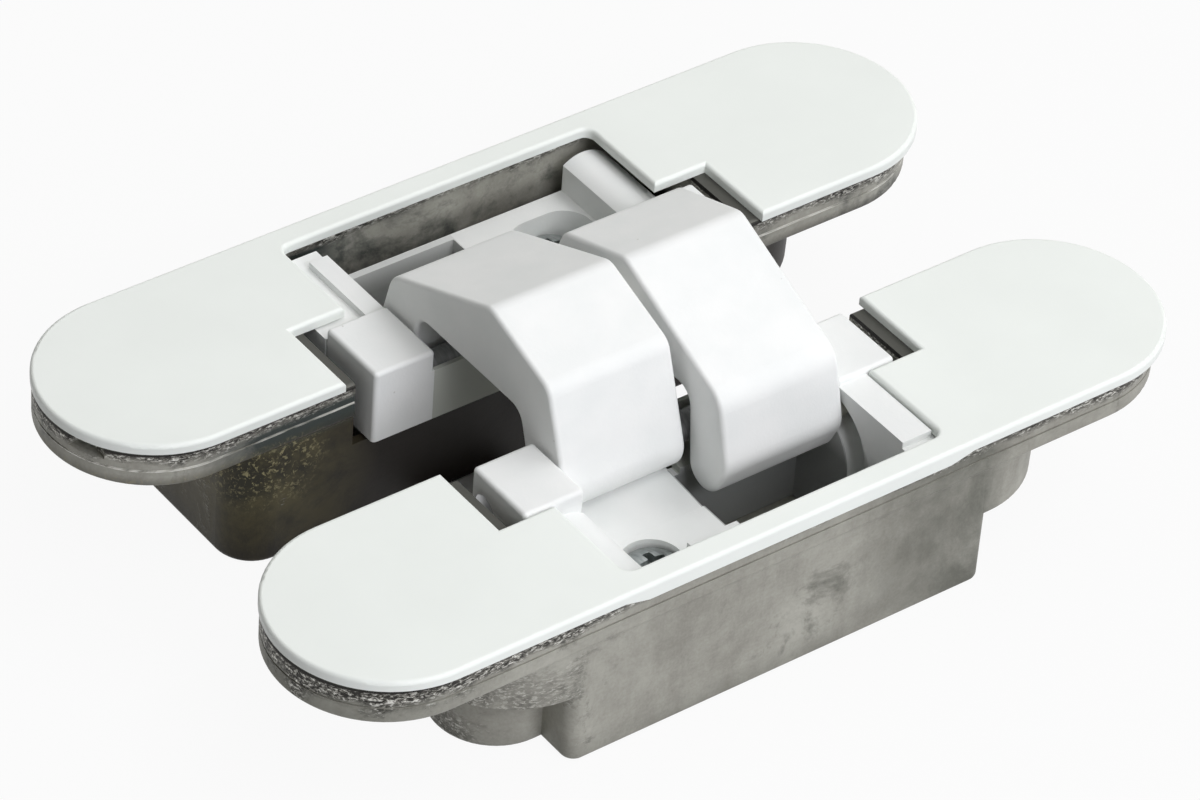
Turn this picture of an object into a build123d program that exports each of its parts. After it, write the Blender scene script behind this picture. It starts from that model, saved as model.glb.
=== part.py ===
"""Concealed door hinge with two crossed arms, lying open flat at 180 degrees.

X runs along the hinge, Y from the door leaf to the frame leaf, Z up out of the cover plates.
The origin is midway between the leaves, at the back of the castings.
"""

import os
from math import acos, asin, atan2, cos, degrees, hypot, pi, radians, sin

from build123d import *

os.makedirs("parts", exist_ok=True)

# Cover plates
plate_length = 111.0
plate_overhang = 0.5
plate_thickness = 1.2
plate_edge_radius = 0.45
leaf_gap = 16.9
notch_half_length = 27.3
notch_depth = 10.35
window_half_length = 20.4
strip_width = 2.95
window_corner_radius = 1.2
notch_corner_radius = 0.5
clip_spacing = 66.0
clip_radius = 2.0
clip_length = 4.6
lip_half_length = 22.5
lip_taper = 3.0
lip_drop = 0.7

# Castings
body_depth = 21.0
casting_length = 109.6
casting_width = 24.5
casting_shift = -0.6
flange_bottom = -5.8
parting_level = -3.7
parting_width = 0.25
parting_depth = 0.15
flange_edge_radius = 0.6
box_inset = 0.15
draft_angle = 1.2
box_corner_radius = 1.6
foot_edge_radius = 0.7
end_wall = 1.4
front_wall = 1.05
back_wall = 1.45
floor_wall = 1.4
cavity_corner_radius = 1.0
front_sill = -9.5
shelf_half_length = 39.0
shelf_bottom = -11.8
boss_position = 28.0
boss_radius = 7.2
deep_end_length = 39.1
deep_end_radius = 4.5
fixing_spacing = 93.0
fixing_radius = 2.6
fixing_head_radius = 4.9
pry_length = 2.4
pry_width = 4.0
pry_offset = -5.0
pry_drop = 1.6

# Carriages
height_travel = 1.5
depth_travel = 1.0
slide_clearance = 0.2
side_clearance = 0.1
carriage_shift = -0.8
block_setback = 0.2
block_outer = 24.0
block_inner = 16.4
block_back = -3.4
block_bottom = -9.2
block_edge_radius = 0.5
base_outer = 22.8
floor_level = -6.5
ramp_front_level = -7.85
ramp_back_level = -8.6
ramp_back = -2.4
recess_level = -8.3
recess_back = 2.9
slab_inner = 1.2
slab_bottom = -15.0
wall_top = -1.45
rim_top = -0.65
panel_thickness = 0.5
panel_top = -2.6
panel_inner = 0.4
sill_top = -8.4
end_block_edge = -3.1
end_block_crest = -2.3
end_block_crest_inset = 3.4
end_block_end = -4.6
well_wall = 1.3
well_back_wall = 0.9
underside_gap = 0.3
hollow_outer = 20.5

# Clamp screws
clamp_x = 11.0
clamp_y = 2.8
clamp_shank_radius = 2.0
clamp_head_radius = 3.2
clamp_head_height = 2.2
clamp_dome_height = 1.0
clamp_washer_radius = 3.3
clamp_washer_thickness = 0.8
clamp_pocket_bottom = -11.0
clamp_slot_clearance = 0.15
clamp_post_radius = 3.6
clamp_recess_length = 3.0
clamp_recess_width = 0.9
clamp_recess_depth = 1.3

# Linkage, as insets from the inner plate edge and drops below the cover face
door_gap = 5.0
pivot_inset = 2.55
pivot_drop = 4.2
slide_inset = 8.15
slide_drop = 3.9
crossing_height = 5.2

# Arms
arm_gap = 1.2
arm_side_clearance = 0.3
hub_radius = 3.3
slide_end_radius = 3.0
tongue_inset = 0.6
tongue_drop = 2.3
tongue_radius = 2.6
crown_height = 11.3
crown_shift = -0.3
shoulder_height = 7.7
shoulder_inset = 0.7
nose_height = 4.0
nose_inset = 1.0
belly_height = 1.8
belly_front_inset = 5.4
belly_back_inset = 4.1
crown_radius = 2.2
shoulder_radius = 2.4
nose_radius = 3.5
belly_radius = 2.0
arm_edge_radius = 0.5

# Pins, bushes and their fits
pivot_pin_radius = 1.75
slide_pin_radius = 1.2
centre_pin_radius = 2.0
bush_wall = 0.8
slide_bush_radius = 1.7
slide_pin_depth = 9.0
slide_bush_length = 2.2
pivot_pin_cover = 2.0
slot_clearance = 0.2
track_spans = 8
track_step = 0.001
press_clearance = 0.02
running_clearance = 0.05
end_clearance = 0.1
centre_hole_end = 13.0
centre_washer_radius = 3.0

# Places that follow from the sizes above
plate_width = casting_width + 2 * plate_overhang
inner_edge = -plate_width / 2
outer_edge = plate_width / 2
leaf_offset = (leaf_gap + plate_width) / 2
notch_back = inner_edge + notch_depth
window_back = outer_edge - strip_width
flange_top = -plate_thickness
box_width = casting_width - 2 * box_inset
cavity_front = -box_width / 2 + front_wall
cavity_back = box_width / 2 - back_wall
cavity_half_length = block_outer + height_travel + slide_clearance
box_half_length = cavity_half_length + end_wall
cavity_floor = floor_wall - body_depth
base_front = cavity_front + depth_travel + side_clearance
base_back = cavity_back - depth_travel - side_clearance
base_bottom = cavity_floor + underside_gap
block_front = inner_edge + block_setback
rim_back = window_back - window_corner_radius - depth_travel - side_clearance
arm_inner = arm_gap / 2
arm_outer = block_inner - arm_side_clearance
pivot_y = inner_edge + pivot_inset
slide_y = inner_edge + slide_inset
arm_pivot_y = leaf_offset + pivot_y
arm_slide_y = -leaf_offset - slide_y
pivot_bush_radius = pivot_pin_radius + running_clearance + bush_wall
centre_bush_radius = centre_pin_radius + running_clearance + bush_wall
slot_radius = slide_bush_radius + slot_clearance
slot_end = block_inner + slide_bush_length + slot_clearance
clamp_dome_radius = (clamp_head_radius**2 + clamp_dome_height**2) / (2 * clamp_dome_height)
post_top = slab_bottom - slide_clearance



def facing(x, y, turn):
    """A plane level with the cover faces at a place, with its x axis turned by an angle."""
    return Plane(origin=(x, y, body_depth), z_dir=(0, 0, 1)).rotated((0, 0, turn))


# Frames of the two leaves, at the middle of each cover face
frame_leaf = facing(0, leaf_offset, 0)
door_leaf = facing(0, -leaf_offset, 180)

# The castings' outsides sit a little to one end under the covers
frame_shell = facing(casting_shift, leaf_offset, 0)
door_shell = facing(casting_shift, -leaf_offset, 180)

# The carriages and arms are set a little towards the door leaf
frame_seat = facing(0, leaf_offset + carriage_shift, 0)
door_seat = facing(0, carriage_shift - leaf_offset, 180)
right_frame = facing(0, carriage_shift, 0)
left_frame = facing(0, carriage_shift, 180)


def level(base, height):
    """A plane parallel to the cover faces, at a height above them."""
    return base.offset(height)


def section(base, place):
    """A plane across the hinge at a place along it: its own x runs outward and its own y runs up."""
    return Plane(origin=base.origin + base.x_dir * place, x_dir=base.y_dir, z_dir=base.x_dir)


def turned(point, centre, angle):
    """A point turned about a centre by an angle in degrees."""
    dy = point[0] - centre[0]
    dz = point[1] - centre[1]
    turn = radians(angle)
    return (centre[0] + dy * cos(turn) - dz * sin(turn), centre[1] + dy * sin(turn) + dz * cos(turn))


def tangent_point(point, centre, radius, side):
    """Where a line from a point touches a circle, on the side given as 1 or -1."""
    dy = point[0] - centre[0]
    dz = point[1] - centre[1]
    spread = pi / 2 - asin(radius / hypot(dy, dz))
    angle = atan2(dz, dy) + side * spread
    return (centre[0] + radius * cos(angle), centre[1] + radius * sin(angle))


def belt_points(first, first_radius, second, second_radius, side):
    """Where a line touches two circles, on the side given as 1 or -1."""
    dy = second[0] - first[0]
    dz = second[1] - first[1]
    angle = atan2(dz, dy) + side * acos((first_radius - second_radius) / hypot(dy, dz))
    return [
        (centre[0] + radius * cos(angle), centre[1] + radius * sin(angle))
        for centre, radius in ((first, first_radius), (second, second_radius))
    ]


# Closing turns each arm about its pivot until the cover faces are a door gap apart
pivot = (pivot_y, -pivot_drop)
crossing_open = (-leaf_offset, crossing_height)
reach = hypot(crossing_open[0] - pivot[0], crossing_open[1] - pivot[1])
open_angle = degrees(atan2(crossing_open[1] - pivot[1], crossing_open[0] - pivot[0]))
closed_angle = degrees(asin((door_gap / 2 - pivot[1]) / reach))
arm_swing = open_angle - closed_angle


def slide_point(closing):
    """Place of the sliding pin in its leaf, with closing from 0 (open) to 1 (closed)."""
    crossing = turned(crossing_open, pivot, -arm_swing * closing)
    lever = (slide_y - crossing_open[0] + crossing[0], -slide_drop - crossing_open[1] + crossing[1])
    return turned(lever, crossing, -(180 - arm_swing) * closing)


def track_point(closing, aside, ahead=0.0):
    """Point beside the sliding pin's track, and ahead of it along the track."""
    before = slide_point(closing - track_step)
    after = slide_point(closing + track_step)
    length = hypot(after[0] - before[0], after[1] - before[1])
    along = ((after[0] - before[0]) / length, (after[1] - before[1]) / length)
    place = slide_point(closing)
    return (
        place[0] + ahead * along[0] - aside * along[1],
        place[1] + ahead * along[1] + aside * along[0],
    )


def draw_slot(radius):
    """Slot of a radius about the sliding pin's track, drawn in the sketch that is open."""
    upper = [track_point(step / track_spans, radius) for step in range(track_spans + 1)]
    lower = [track_point(step / track_spans, -radius) for step in range(track_spans + 1)]
    with BuildLine() as edge:
        Spline(*upper)
        ThreePointArc(upper[-1], track_point(1, 0, radius), lower[-1])
        Spline(*lower)
        ThreePointArc(upper[0], track_point(0, 0, -radius), lower[0])
    make_face(edge.edges())


def make_cover(leaf):
    """Cover plate with its cut-out for the arms, clip posts and edge lip."""
    lip_inside = casting_width / 2 + end_clearance
    across = Plane(origin=leaf.origin + leaf.y_dir * outer_edge, x_dir=leaf.x_dir, z_dir=-leaf.y_dir)
    with BuildPart() as plate:
        with BuildSketch(level(leaf, flange_top)) as outline:
            SlotOverall(plate_length, plate_width)
            with Locations((0, inner_edge)):
                Rectangle(2 * notch_half_length, 2 * notch_depth, mode=Mode.SUBTRACT)
            with Locations((0, notch_back)):
                Rectangle(2 * window_half_length, 2 * (window_back - notch_back), mode=Mode.SUBTRACT)
            corners = outline.vertices().filter_by_position(Axis.X, -notch_half_length, notch_half_length)
            fillet(corners.group_by(Axis.Y)[-1], window_corner_radius)
            fillet(corners.filter_by_position(Axis.Y, inner_edge, notch_back), notch_corner_radius)
        extrude(amount=plate_thickness)
        fillet(plate.faces().sort_by(Axis.Z)[-1].edges(), plate_edge_radius)
        with BuildSketch(level(leaf, flange_top)):
            with GridLocations(clip_spacing, 0, 2, 1):
                Circle(clip_radius)
        extrude(amount=-clip_length)
        with BuildSketch(across):
            with BuildLine():
                Polyline(
                    (-lip_half_length, flange_top),
                    (lip_taper - lip_half_length, flange_top - lip_drop),
                    (lip_half_length - lip_taper, flange_top - lip_drop),
                    (lip_half_length, flange_top),
                    close=True,
                )
            make_face()
        extrude(amount=outer_edge - lip_inside)
    return plate.part


def make_body(leaf, shell, has_deep_end):
    """Die-cast body with flange, box, end shelves, boss, cavity and screw holes."""
    box_top = Plane(origin=level(shell, flange_bottom).origin, x_dir=leaf.x_dir, z_dir=-leaf.z_dir)
    box_height = flange_bottom + body_depth
    with BuildPart() as body:
        with BuildSketch(level(shell, flange_bottom)):
            SlotOverall(casting_length, casting_width)
        extrude(amount=flange_top - flange_bottom)
        fillet(body.edges().filter_by(Plane.XY), flange_edge_radius)
        with BuildSketch(level(shell, parting_level)):
            SlotOverall(casting_length, casting_width)
            SlotOverall(
                casting_length - 2 * parting_depth, casting_width - 2 * parting_depth, mode=Mode.SUBTRACT
            )
        extrude(amount=parting_width, mode=Mode.SUBTRACT)
        with BuildSketch(level(shell, flange_bottom)):
            SlotOverall(2 * shelf_half_length, box_width)
            with Locations((0, -casting_width / 2)):
                Rectangle(casting_length, casting_width, mode=Mode.SUBTRACT)
        extrude(amount=parting_level - flange_bottom)
        with BuildSketch(box_top):
            SlotOverall(2 * shelf_half_length, box_width)
        extrude(amount=flange_bottom - shelf_bottom, taper=draft_angle)
        with BuildSketch(box_top):
            RectangleRounded(2 * box_half_length, box_width, box_corner_radius)
            with Locations((boss_position, 0)):
                Circle(boss_radius)
            with Locations((boss_position / 2, 0)):
                Rectangle(boss_position, 2 * boss_radius)
            if has_deep_end:
                with Locations((-deep_end_length / 2, 0)):
                    RectangleRounded(deep_end_length, box_width, deep_end_radius)
        extrude(amount=box_height)
        fillet(body.faces().sort_by(Axis.Z)[0].edges(), foot_edge_radius)
        with BuildSketch(level(leaf, cavity_floor)):
            with Locations((0, (cavity_front + cavity_back) / 2)):
                RectangleRounded(2 * cavity_half_length, cavity_back - cavity_front, cavity_corner_radius)
        extrude(amount=flange_top - cavity_floor, mode=Mode.SUBTRACT)
        with BuildSketch(level(leaf, front_sill)):
            with Locations((0, -casting_width / 2)):
                Rectangle(
                    2 * cavity_half_length,
                    2 * (casting_width / 2 + cavity_front + cavity_corner_radius),
                )
        extrude(amount=flange_top - front_sill, mode=Mode.SUBTRACT)
        with BuildSketch(level(leaf, cavity_floor)):
            with Locations((clamp_x, clamp_y)):
                Circle(clamp_post_radius)
        extrude(amount=post_top - cavity_floor)
        with BuildSketch(level(leaf, cavity_floor)):
            with Locations((clamp_x, clamp_y)):
                Circle(clamp_shank_radius + press_clearance)
        extrude(amount=post_top - cavity_floor, mode=Mode.SUBTRACT)
        with Locations(level(leaf, flange_top)):
            with GridLocations(fixing_spacing, 0, 2, 1):
                CounterSinkHole(fixing_radius, fixing_head_radius, depth=-flange_bottom)
        with BuildSketch(level(leaf, flange_top)):
            with GridLocations(clip_spacing, 0, 2, 1):
                Circle(clip_radius + press_clearance)
        extrude(amount=-clip_length - end_clearance, mode=Mode.SUBTRACT)
        with BuildSketch(level(shell, flange_top)):
            with Locations((-casting_length / 2, pry_offset)):
                Rectangle(2 * pry_length, pry_width)
        extrude(amount=-pry_drop, mode=Mode.SUBTRACT)
    return body.part


def make_carriage(seat, clamp_base, slot_turn):
    """Carriage with bearing blocks, floor, well, slot and bores."""
    block_length = block_outer - block_inner
    block_middle = (block_outer + block_inner) / 2
    base_middle = (base_front + base_back) / 2
    well_length = block_inner + slab_inner
    well_middle = (slab_inner - block_inner) / 2
    hollow_length = hollow_outer - slab_inner - well_wall
    panel_length = block_middle - panel_inner
    panel_middle = -(block_middle + panel_inner) / 2
    moves_along = slot_turn == 0
    slot_travel = height_travel if moves_along else depth_travel
    rim_outer = window_half_length - slide_clearance - (height_travel if moves_along else 0)
    across = Plane(origin=seat.origin + seat.y_dir * base_back, x_dir=seat.x_dir, z_dir=-seat.y_dir)
    with BuildPart() as carriage:
        with BuildSketch(level(seat, block_bottom)):
            with Locations((0, (block_front + block_back) / 2)):
                with GridLocations(2 * block_middle, 0, 2, 1):
                    RectangleRounded(block_length, block_back - block_front, block_edge_radius)
        extrude(amount=-block_bottom)
        fillet(carriage.faces().group_by(Axis.Z)[-1].edges(), block_edge_radius)
        with BuildSketch(level(seat, base_bottom)):
            with Locations((0, base_middle)):
                Rectangle(2 * base_outer, base_back - base_front)
        extrude(amount=floor_level - base_bottom)
        with BuildSketch(level(seat, floor_level)):
            with Locations((-block_middle, (block_back + base_back) / 2)):
                Rectangle(block_length, base_back - block_back)
        extrude(amount=wall_top - floor_level)
        with BuildSketch(level(seat, floor_level)):
            with Locations((-(block_inner + rim_outer) / 2, (block_back + rim_back) / 2)):
                Rectangle(rim_outer - block_inner, rim_back - block_back)
        extrude(amount=rim_top - floor_level)
        with BuildSketch(across):
            with BuildLine():
                Polyline(
                    (base_outer, end_block_end),
                    (base_outer, floor_level),
                    (block_inner, floor_level),
                    (block_inner, end_block_edge),
                )
                ThreePointArc(
                    (block_inner, end_block_edge),
                    (block_inner + end_block_crest_inset, end_block_crest),
                    (base_outer, end_block_end),
                )
            make_face()
        extrude(amount=base_back - block_back)
        with BuildSketch(level(seat, base_bottom)):
            with Locations((well_middle, base_middle)):
                Rectangle(well_length, base_back - base_front)
        extrude(amount=floor_level - base_bottom, mode=Mode.SUBTRACT)
        with BuildSketch(level(seat, base_bottom)):
            with Locations((well_middle, base_front + well_wall / 2)):
                Rectangle(well_length, well_wall)
            with Locations((well_middle, base_back - well_back_wall / 2)):
                Rectangle(well_length, well_back_wall)
        extrude(amount=block_bottom - base_bottom)
        with BuildSketch(level(seat, block_bottom)):
            with Locations((well_middle, base_back - well_back_wall / 2)):
                Rectangle(well_length, well_back_wall)
        extrude(amount=floor_level - block_bottom)
        with BuildSketch(level(seat, block_bottom)):
            with Locations((panel_middle, block_front + panel_thickness / 2)):
                Rectangle(panel_length, panel_thickness)
        extrude(amount=panel_top - block_bottom)
        with BuildSketch(level(seat, block_bottom)):
            with Locations((panel_middle, (block_front + base_front + well_wall) / 2)):
                Rectangle(panel_length, base_front + well_wall - block_front)
        extrude(amount=sill_top - block_bottom)
        with BuildSketch(section(seat, slab_inner)):
            with BuildLine():
                Polyline(
                    (base_front, floor_level),
                    (base_front, ramp_front_level),
                    (ramp_back, ramp_back_level),
                    (ramp_back, recess_level),
                    (recess_back, recess_level),
                    (recess_back, floor_level),
                    close=True,
                )
            make_face()
        extrude(amount=block_inner - slab_inner, mode=Mode.SUBTRACT)
        with BuildSketch(level(seat, base_bottom)):
            with Locations((hollow_outer - hollow_length / 2, base_middle)):
                Rectangle(hollow_length, base_back - base_front - 2 * well_wall)
        extrude(amount=slab_bottom - base_bottom, mode=Mode.SUBTRACT)
        with BuildSketch(level(clamp_base, clamp_pocket_bottom)):
            with Locations((clamp_x, clamp_y)):
                SlotCenterToCenter(
                    2 * (slot_travel + side_clearance),
                    2 * (clamp_washer_radius + side_clearance),
                    rotation=slot_turn,
                )
        extrude(amount=floor_level - clamp_pocket_bottom, mode=Mode.SUBTRACT)
        with BuildSketch(level(clamp_base, slab_bottom)):
            with Locations((clamp_x, clamp_y)):
                SlotCenterToCenter(
                    2 * (slot_travel + side_clearance),
                    2 * (clamp_shank_radius + clamp_slot_clearance),
                    rotation=slot_turn,
                )
        extrude(amount=clamp_pocket_bottom - slab_bottom, mode=Mode.SUBTRACT)
        with BuildSketch(section(seat, pivot_pin_cover - block_outer)):
            with Locations(pivot):
                Circle(pivot_pin_radius + press_clearance)
        extrude(amount=2 * block_outer - pivot_pin_cover, mode=Mode.SUBTRACT)
        with BuildSketch(section(seat, -slot_end)):
            draw_slot(slot_radius)
        extrude(amount=slot_end - block_inner, mode=Mode.SUBTRACT)
    return carriage.part


def make_arm(frame, centre_bore_radius):
    """Crossed arm with its hub, crown and sliding end, and the three bores."""
    hub = (arm_pivot_y, -pivot_drop)
    slide = (arm_slide_y, -slide_drop)
    nose = (arm_slide_y - nose_inset, nose_height)
    crown = (crown_shift, crown_height)
    shoulder = (arm_pivot_y - shoulder_inset, shoulder_height)
    belly_front = (arm_pivot_y - belly_front_inset, belly_height)
    belly_back = (arm_slide_y + belly_back_inset, belly_height)
    tongue = (arm_slide_y + tongue_inset, -slide_drop - tongue_drop)
    end_top, end_bottom = belt_points(slide, slide_end_radius, tongue, tongue_radius, -1)
    with BuildPart() as arm:
        with BuildSketch(section(frame, arm_inner)) as outline:
            with BuildLine():
                Polyline(
                    tangent_point(nose, slide, slide_end_radius, 1),
                    nose,
                    crown,
                    shoulder,
                    tangent_point(shoulder, hub, hub_radius, -1),
                    hub,
                    tangent_point(belly_front, hub, hub_radius, 1),
                    belly_front,
                    belly_back,
                    tangent_point(belly_back, tongue, tongue_radius, -1),
                    tongue,
                    end_bottom,
                    end_top,
                    slide,
                    close=True,
                )
            make_face()
            with Locations(hub):
                Circle(hub_radius)
            with Locations(slide):
                Circle(slide_end_radius)
            with Locations(tongue):
                Circle(tongue_radius)
            for corner, radius in (
                (nose, nose_radius),
                (crown, crown_radius),
                (shoulder, shoulder_radius),
                (belly_front, belly_radius),
                (belly_back, belly_radius),
            ):
                fillet(outline.vertices().sort_by_distance(corner)[0], radius)
        extrude(amount=arm_outer - arm_inner)
        fillet(arm.faces().filter_by(Axis.X).edges(), arm_edge_radius)
        for centre, radius, start in (
            (hub, pivot_bush_radius + press_clearance, arm_inner),
            (slide, slide_pin_radius + press_clearance, arm_outer - slide_pin_depth),
        ):
            with BuildSketch(section(frame, start)):
                with Locations(centre):
                    Circle(radius)
            extrude(amount=arm_outer - start, mode=Mode.SUBTRACT)
        with BuildSketch(section(frame, arm_inner)):
            with Locations((0, crossing_height)):
                Circle(centre_bore_radius)
        extrude(amount=centre_hole_end - arm_inner, mode=Mode.SUBTRACT)
    return arm.part


def make_ring(frame, centre, start, end, outer_radius, inner_radius=0):
    """Pin, bush or washer along the hinge, from start to end."""
    with BuildPart() as ring:
        with BuildSketch(section(frame, start)):
            with Locations(centre):
                Circle(outer_radius)
                if inner_radius:
                    Circle(inner_radius, mode=Mode.SUBTRACT)
        extrude(amount=end - start)
    return ring.part


def make_clamp_screw(leaf):
    """Pan-head screw with a cross recess, standing in the clamp post."""
    head_bottom = clamp_pocket_bottom + clamp_washer_thickness
    head_top = head_bottom + clamp_head_height
    with BuildPart() as screw:
        with BuildSketch(level(leaf, head_bottom)):
            with Locations((clamp_x, clamp_y)):
                Circle(clamp_head_radius)
        extrude(amount=clamp_head_height)
        with Locations(level(leaf, head_top - clamp_dome_radius)):
            with Locations((clamp_x, clamp_y)):
                Sphere(clamp_dome_radius, mode=Mode.INTERSECT)
        with BuildSketch(level(leaf, cavity_floor)):
            with Locations((clamp_x, clamp_y)):
                Circle(clamp_shank_radius)
        extrude(amount=head_bottom - cavity_floor)
        with BuildSketch(level(leaf, head_top)):
            with Locations((clamp_x, clamp_y)):
                Rectangle(clamp_recess_length, clamp_recess_width)
                Rectangle(clamp_recess_width, clamp_recess_length)
        extrude(amount=-clamp_recess_depth, mode=Mode.SUBTRACT)
    return screw.part


def make_clamp_washer(leaf):
    """Washer between the clamp screw's head and the adjusting slot."""
    with BuildPart() as washer:
        with BuildSketch(level(leaf, clamp_pocket_bottom)):
            with Locations((clamp_x, clamp_y)):
                Circle(clamp_washer_radius)
                Circle(clamp_shank_radius + running_clearance, mode=Mode.SUBTRACT)
        extrude(amount=clamp_washer_thickness)
    return washer.part


pieces = {}
for side, leaf, shell, seat, clamp_base, has_deep_end, slot_turn in (
    ("frame", frame_leaf, frame_shell, frame_seat, frame_leaf, True, 0),
    ("door", door_leaf, door_shell, door_seat, door_seat, False, 90),
):
    pieces[side + "_body"] = make_body(leaf, shell, has_deep_end)
    pieces[side + "_cover"] = make_cover(leaf)
    pieces[side + "_carriage"] = make_carriage(seat, clamp_base, slot_turn)
    pieces[side + "_clamp_screw"] = make_clamp_screw(leaf)
    pieces[side + "_clamp_washer"] = make_clamp_washer(leaf)
    pieces[side + "_pivot_pin"] = make_ring(
        seat,
        pivot,
        pivot_pin_cover + end_clearance - block_outer,
        block_outer - end_clearance,
        pivot_pin_radius,
    )

for side, frame, centre_bore in (
    ("right", right_frame, centre_bush_radius + press_clearance),
    ("left", left_frame, centre_pin_radius + press_clearance),
):
    hub = (arm_pivot_y, -pivot_drop)
    slide = (arm_slide_y, -slide_drop)
    pieces[side + "_arm"] = make_arm(frame, centre_bore)
    pieces[side + "_pivot_bush"] = make_ring(
        frame,
        hub,
        arm_inner + end_clearance,
        arm_outer - end_clearance,
        pivot_bush_radius,
        pivot_pin_radius + running_clearance,
    )
    pieces[side + "_slide_pin"] = make_ring(
        frame,
        slide,
        arm_outer - slide_pin_depth + end_clearance,
        block_inner + slide_bush_length,
        slide_pin_radius,
    )
    pieces[side + "_slide_bush"] = make_ring(
        frame,
        slide,
        arm_outer + end_clearance,
        block_inner + slide_bush_length,
        slide_bush_radius,
        slide_pin_radius + press_clearance,
    )

crossing = (0, crossing_height)
pieces["centre_pin"] = make_ring(
    right_frame,
    crossing,
    end_clearance - centre_hole_end,
    centre_hole_end - end_clearance,
    centre_pin_radius,
)
pieces["centre_bush"] = make_ring(
    right_frame,
    crossing,
    arm_inner + end_clearance,
    centre_hole_end - end_clearance,
    centre_bush_radius,
    centre_pin_radius + running_clearance,
)
pieces["centre_washer"] = make_ring(
    right_frame,
    crossing,
    end_clearance - arm_inner,
    arm_inner - end_clearance,
    centre_washer_radius,
    centre_pin_radius + running_clearance,
)

for name, piece in pieces.items():
    piece.label = name
    export_step(piece, f"parts/{name}.step")

print(f"arm swing {arm_swing:.4f} degrees, centre ratio {(180 - 2 * arm_swing) / arm_swing:.6f}")
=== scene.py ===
"""Finishes, studio and camera of a concealed door hinge that lies open.

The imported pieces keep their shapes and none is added. Lengths are in metres unless a name ends in _mm.
"""

import logging
import math
from dataclasses import dataclass, field
from enum import Enum
from typing import Any

import bmesh
import bpy
from mathutils import Matrix, Vector


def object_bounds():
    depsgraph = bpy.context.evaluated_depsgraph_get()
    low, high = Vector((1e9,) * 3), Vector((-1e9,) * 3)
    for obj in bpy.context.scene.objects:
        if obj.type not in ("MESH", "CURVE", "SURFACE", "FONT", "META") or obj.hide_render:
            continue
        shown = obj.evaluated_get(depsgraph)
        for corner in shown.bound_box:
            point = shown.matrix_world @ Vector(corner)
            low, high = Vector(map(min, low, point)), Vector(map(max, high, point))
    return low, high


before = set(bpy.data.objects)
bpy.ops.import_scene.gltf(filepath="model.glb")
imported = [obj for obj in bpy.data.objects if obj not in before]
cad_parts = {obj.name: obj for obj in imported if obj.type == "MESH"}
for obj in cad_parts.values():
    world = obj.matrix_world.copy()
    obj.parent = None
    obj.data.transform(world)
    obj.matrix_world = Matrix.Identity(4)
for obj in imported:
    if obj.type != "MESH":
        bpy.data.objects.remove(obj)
CAD_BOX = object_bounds()
LOG = logging.getLogger("hinge")

Socket = bpy.types.NodeSocket
Tree = bpy.types.NodeTree

MM_PER_METRE = 1000.0
# heights of the castings that their finishes follow, and how far back the frame casting's inner wall stands
FLANGE_TOP = 0.0198
PARTING = 0.0173
FLANGE_BOTTOM = 0.0152
INNER_WALL = 0.0285


class Side(Enum):
    """The two leaves of the hinge."""

    FRAME = "frame"
    DOOR = "door"


class Hand(Enum):
    """The two crossed arms."""

    RIGHT = "right"
    LEFT = "left"


def linear(colour: str) -> tuple[float, float, float, float]:
    """Turns an sRGB hex colour into linear values.

    Args:
        colour: Six hex digits after a hash.

    Returns:
        Red, green, blue and an alpha of 1.
    """
    shares = [int(colour[place : place + 2], 16) / 255 for place in (1, 3, 5)]
    # the numbers are those of the sRGB standard
    red, green, blue = (s / 12.92 if s <= 0.04045 else ((s + 0.055) / 1.055) ** 2.4 for s in shares)
    return red, green, blue, 1.0


def per_metre(size_mm: float) -> float:
    """Texture scale whose features measure about size_mm on the piece."""
    return MM_PER_METRE / size_mm


def add(tree: Tree, kind: str, links: dict[Any, Any], **settings: Any) -> bpy.types.Node:
    """Adds one node to a tree, with its settings and its inputs.

    Args:
        tree: Node tree that gets the node.
        kind: Blender's type name of the node.
        links: Input name or number to a value, or to an output socket that feeds it.
        settings: Properties of the node; ramp gives a colour ramp's stops as (place, colour) pairs.

    Returns:
        The new node.
    """
    node = tree.nodes.new(kind)
    stops = settings.pop("ramp", None)
    for key, value in settings.items():
        setattr(node, key, value)
    if stops:
        elements = node.color_ramp.elements
        while len(elements) < len(stops):
            elements.new(0.5)
        for element, (place, colour) in zip(elements, stops):
            element.position = place
            element.color = linear(colour)
    for key, value in links.items():
        if isinstance(value, Socket):
            tree.links.new(value, node.inputs[key])
        else:
            node.inputs[key].default_value = value
    return node


def new_material(name: str) -> tuple[bpy.types.Material, Tree]:
    """Makes an empty node material.

    Args:
        name: Name of the finish.

    Returns:
        The material and its node tree.
    """
    material = bpy.data.materials.new(name)
    material.use_nodes = True
    material.node_tree.nodes.clear()
    return material, material.node_tree


@dataclass(frozen=True)
class Fade:
    """A steady change between two values of a coordinate or a pattern.

    start and end are those values, first and last what the change gives there and beyond.
    """

    start: float
    end: float
    first: float = 0.0
    last: float = 1.0

    @property
    def limits(self) -> dict[str, float]:
        """The four numbers under the names of a node's inputs."""
        return {"From Min": self.start, "From Max": self.end, "To Min": self.first, "To Max": self.last}


NOWHERE = Fade(0.0, 1.0, 0.0, 0.0)


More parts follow.
